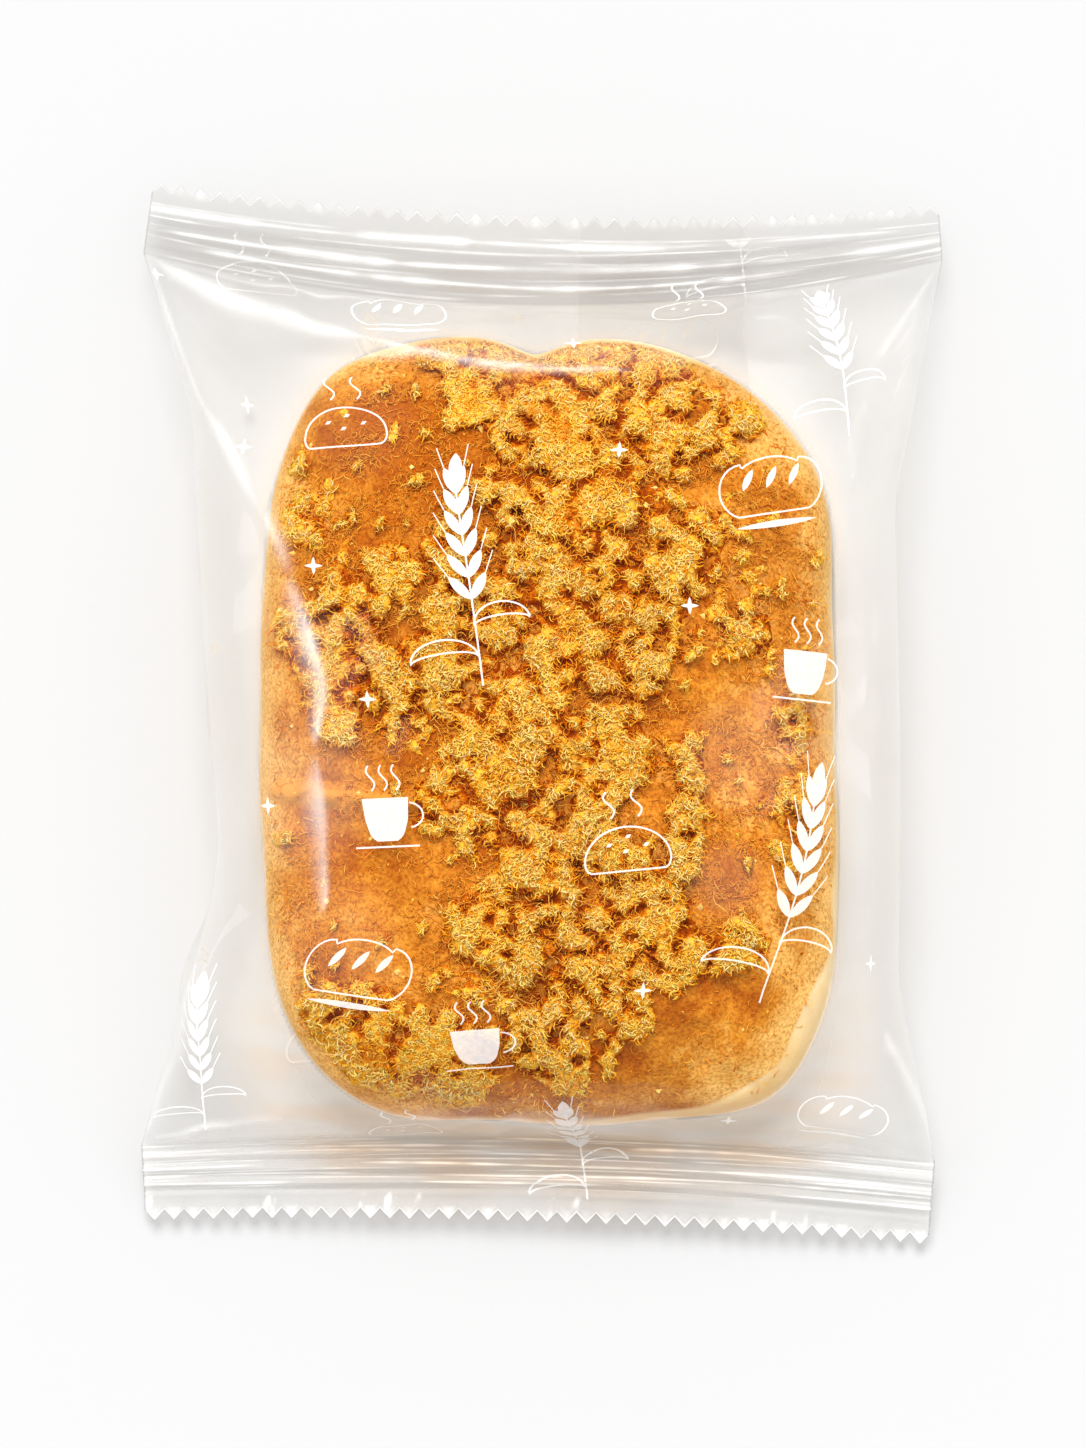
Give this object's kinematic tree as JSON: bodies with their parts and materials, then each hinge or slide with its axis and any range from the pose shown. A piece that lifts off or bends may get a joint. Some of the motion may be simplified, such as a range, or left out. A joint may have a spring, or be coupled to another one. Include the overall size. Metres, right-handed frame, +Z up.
{
  "type": "chicken floss bun in a sealed clear flow-wrap bag",
  "caption": "Soft oblong bun topped with golden meat floss, sealed in a clear pillow bag with ribbed end seals and zigzag cut edges.",
  "frame": {"origin": "under the middle of the pack's box, on the surface it lies on", "axes": "+X across the pack to the right as seen from above, +Y along it to the upper end seal, +Z up through the bun's topped side"},
  "size_m": [0.123, 0.1636, 0.0435],
  "materials": {
    "clear_film": "thin clear film, glossy, slightly milky where layers are sealed",
    "white_print": "white ink lines on the film",
    "bun_crust": "soft baked crust, golden brown, satin, paler low on the sides",
    "floss": "dry fibrous golden clumps and threads"
  },
  "bodies": {
    "root": {"sealed_bag": "clear_film"}
  },
  "joints": []
}
